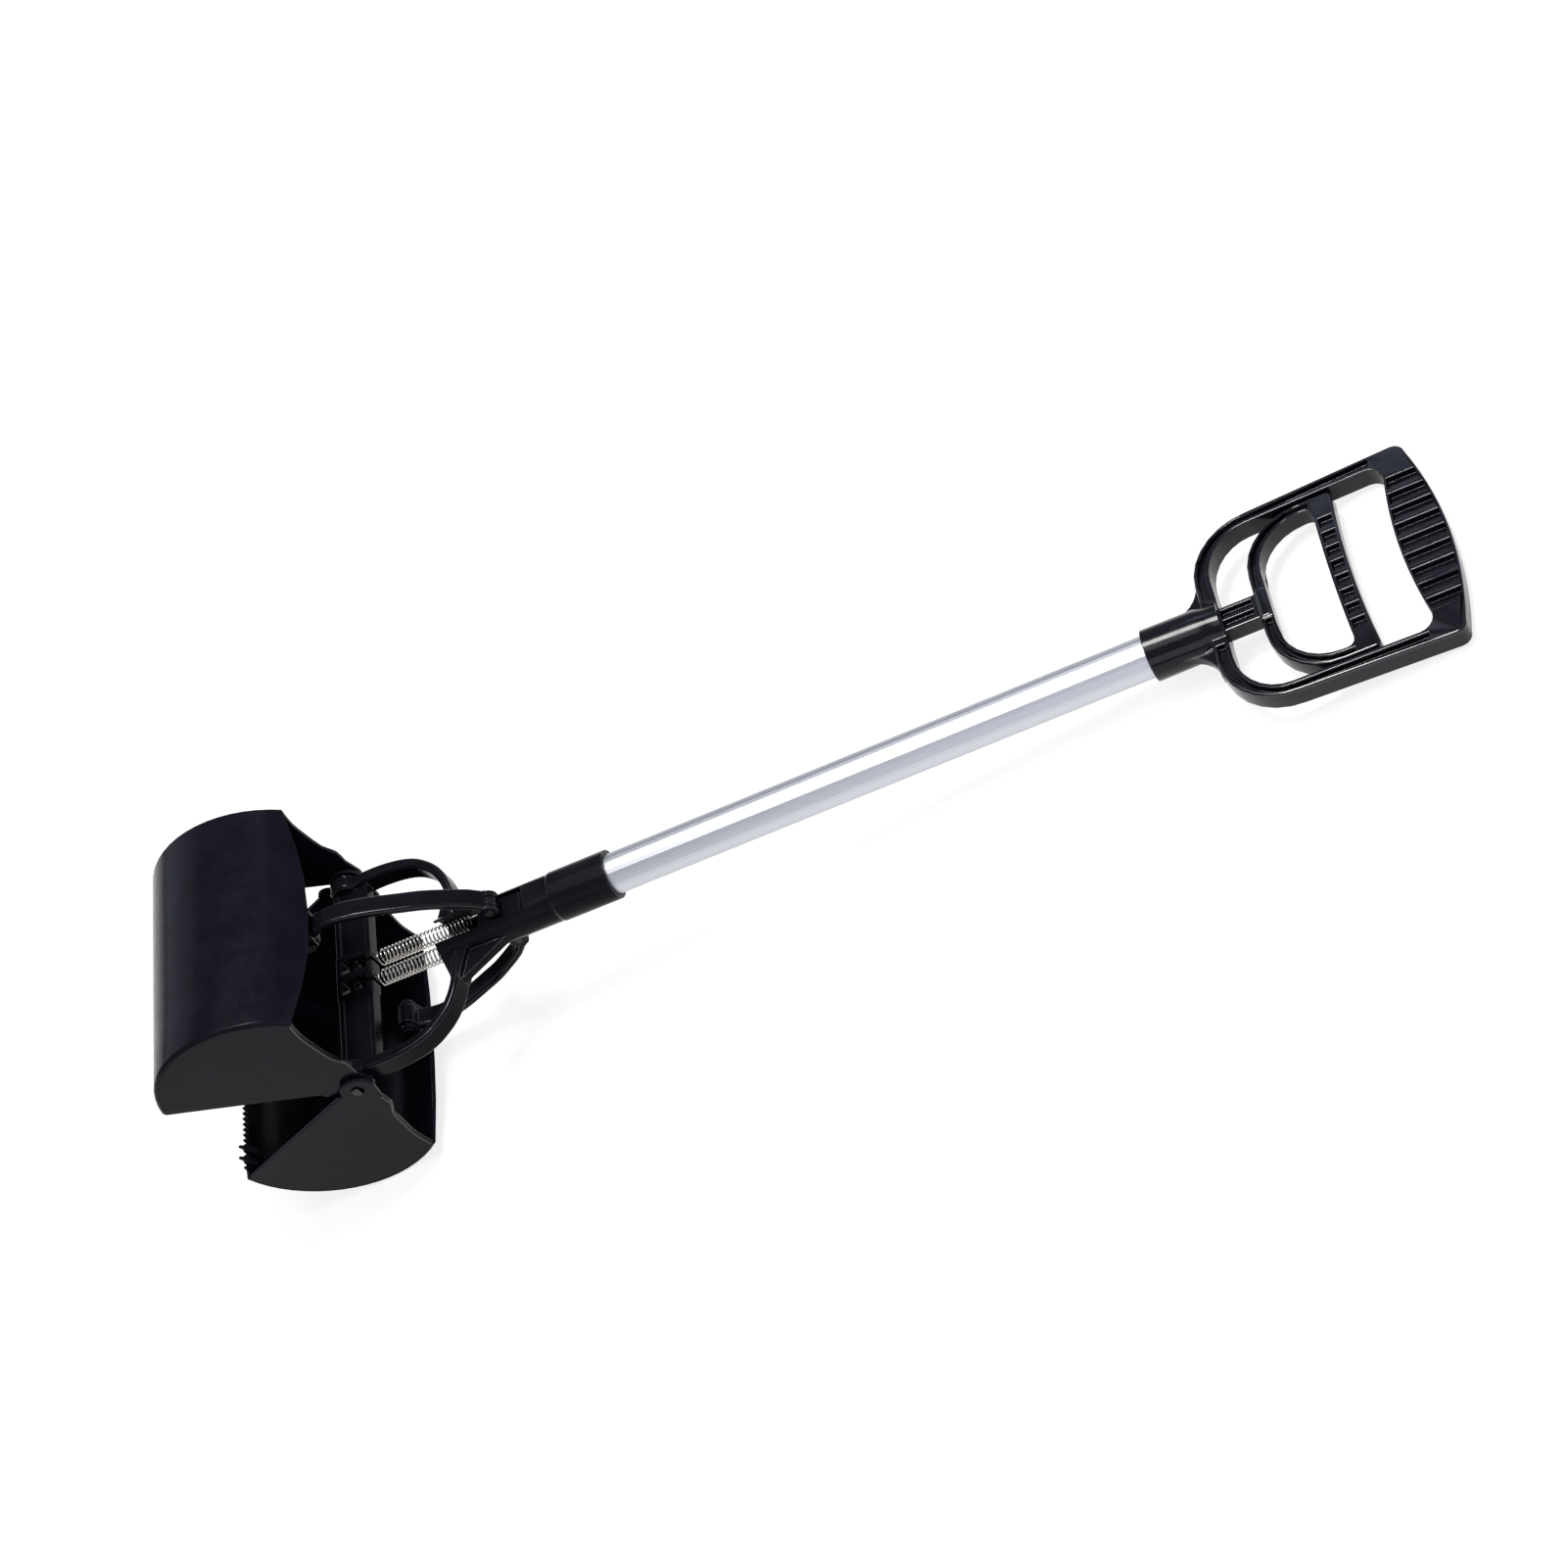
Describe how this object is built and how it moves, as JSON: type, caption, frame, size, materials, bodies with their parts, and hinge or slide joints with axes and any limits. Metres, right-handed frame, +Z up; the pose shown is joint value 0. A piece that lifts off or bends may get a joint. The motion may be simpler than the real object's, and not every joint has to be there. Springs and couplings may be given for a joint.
{
  "type": "jaw scooper",
  "caption": "Long handled litter scooper with two curved toothed jaws that a sliding trigger in a D handle opens and two springs pull shut.",
  "frame": {"origin": "centre of the box's underside, on the ground that the lower jaw's back and the grip's edge rest on", "axes": "+X from the jaws towards the D handle, +Y along the hinge axis, to the left when looking from the jaws to the handle, +Z up"},
  "size_m": [0.7064, 0.1406, 0.1686],
  "materials": {
    "black plastic": "glossy injection moulded, black with a slight blue cast",
    "white plastic": null,
    "satin aluminium": "satin anodised tube",
    "blackened steel": null,
    "bright spring steel": "bright drawn wire"
  },
  "bodies": {
    "frame": {"pole_tube": "satin aluminium", "rod_bush_lower": "white plastic", "rod_bush_upper": "white plastic", "yoke": "black plastic", "yoke_screw": "blackened steel", "handle_frame": "black plastic", "handle_screw": "blackened steel", "hinge_pin_left": "blackened steel", "hinge_pin_right": "blackened steel", "hinge_washer_left": "black plastic", "hinge_washer_right": "black plastic", "spring_left": "bright spring steel", "spring_right": "bright spring steel", "spring_anchor_pin": "blackened steel"},
    "puller": {"trigger": "black plastic", "pull_rod": "blackened steel", "rod_nut_lower": "blackened steel", "rod_nut_upper": "blackened steel", "crosshead": "black plastic", "upper_link_pin": "blackened steel", "lower_link_pin": "blackened steel"},
    "upper_link": {"upper_link": "black plastic"},
    "lower_link": {"lower_link": "black plastic"},
    "upper_jaw": {"upper_jaw": "black plastic", "upper_jaw_pin": "blackened steel"},
    "lower_jaw": {"lower_jaw": "black plastic", "lower_jaw_pin": "blackened steel"}
  },
  "joints": [
    {"name": "trigger_pull", "type": "slide", "parent": "frame", "child": "puller", "axis": [0.9926, 0, -0.1212], "range_m": [-0.0175, 0.008], "stiffness_N_per_m": 300, "springref_m": -0.03, "deforming": ["spring_left", "spring_right"]},
    {"name": "upper_jaw_swing", "type": "hinge", "parent": "frame", "child": "upper_jaw", "pos_m": [-0.25492, 0, 0.08006], "axis": [0, 1, 0], "range_deg": [-21.4, 9.8]},
    {"name": "lower_jaw_swing", "type": "hinge", "parent": "frame", "child": "lower_jaw", "pos_m": [-0.25492, 0, 0.08006], "axis": [0, 1, 0], "range_deg": [-9.8, 21.4]},
    {"name": "upper_link_pivot", "type": "hinge", "parent": "puller", "child": "upper_link", "pos_m": [-0.16073, 0, 0.08417], "axis": [0, 1, 0], "range_deg": [-0.32, 0.16]},
    {"name": "lower_link_pivot", "type": "hinge", "parent": "puller", "child": "lower_link", "pos_m": [-0.16449, 0, 0.0534], "axis": [0, 1, 0], "range_deg": [-0.16, 0.32]}
  ],
  "couplings": [
    {"joint": "upper_jaw_swing", "follows": "trigger_pull", "rad_per_m": 21.313},
    {"joint": "lower_jaw_swing", "follows": "trigger_pull", "rad_per_m": -21.313},
    {"joint": "upper_link_pivot", "follows": "trigger_pull", "rad_per_m": 0.3},
    {"joint": "lower_link_pivot", "follows": "trigger_pull", "rad_per_m": -0.3}
  ]
}
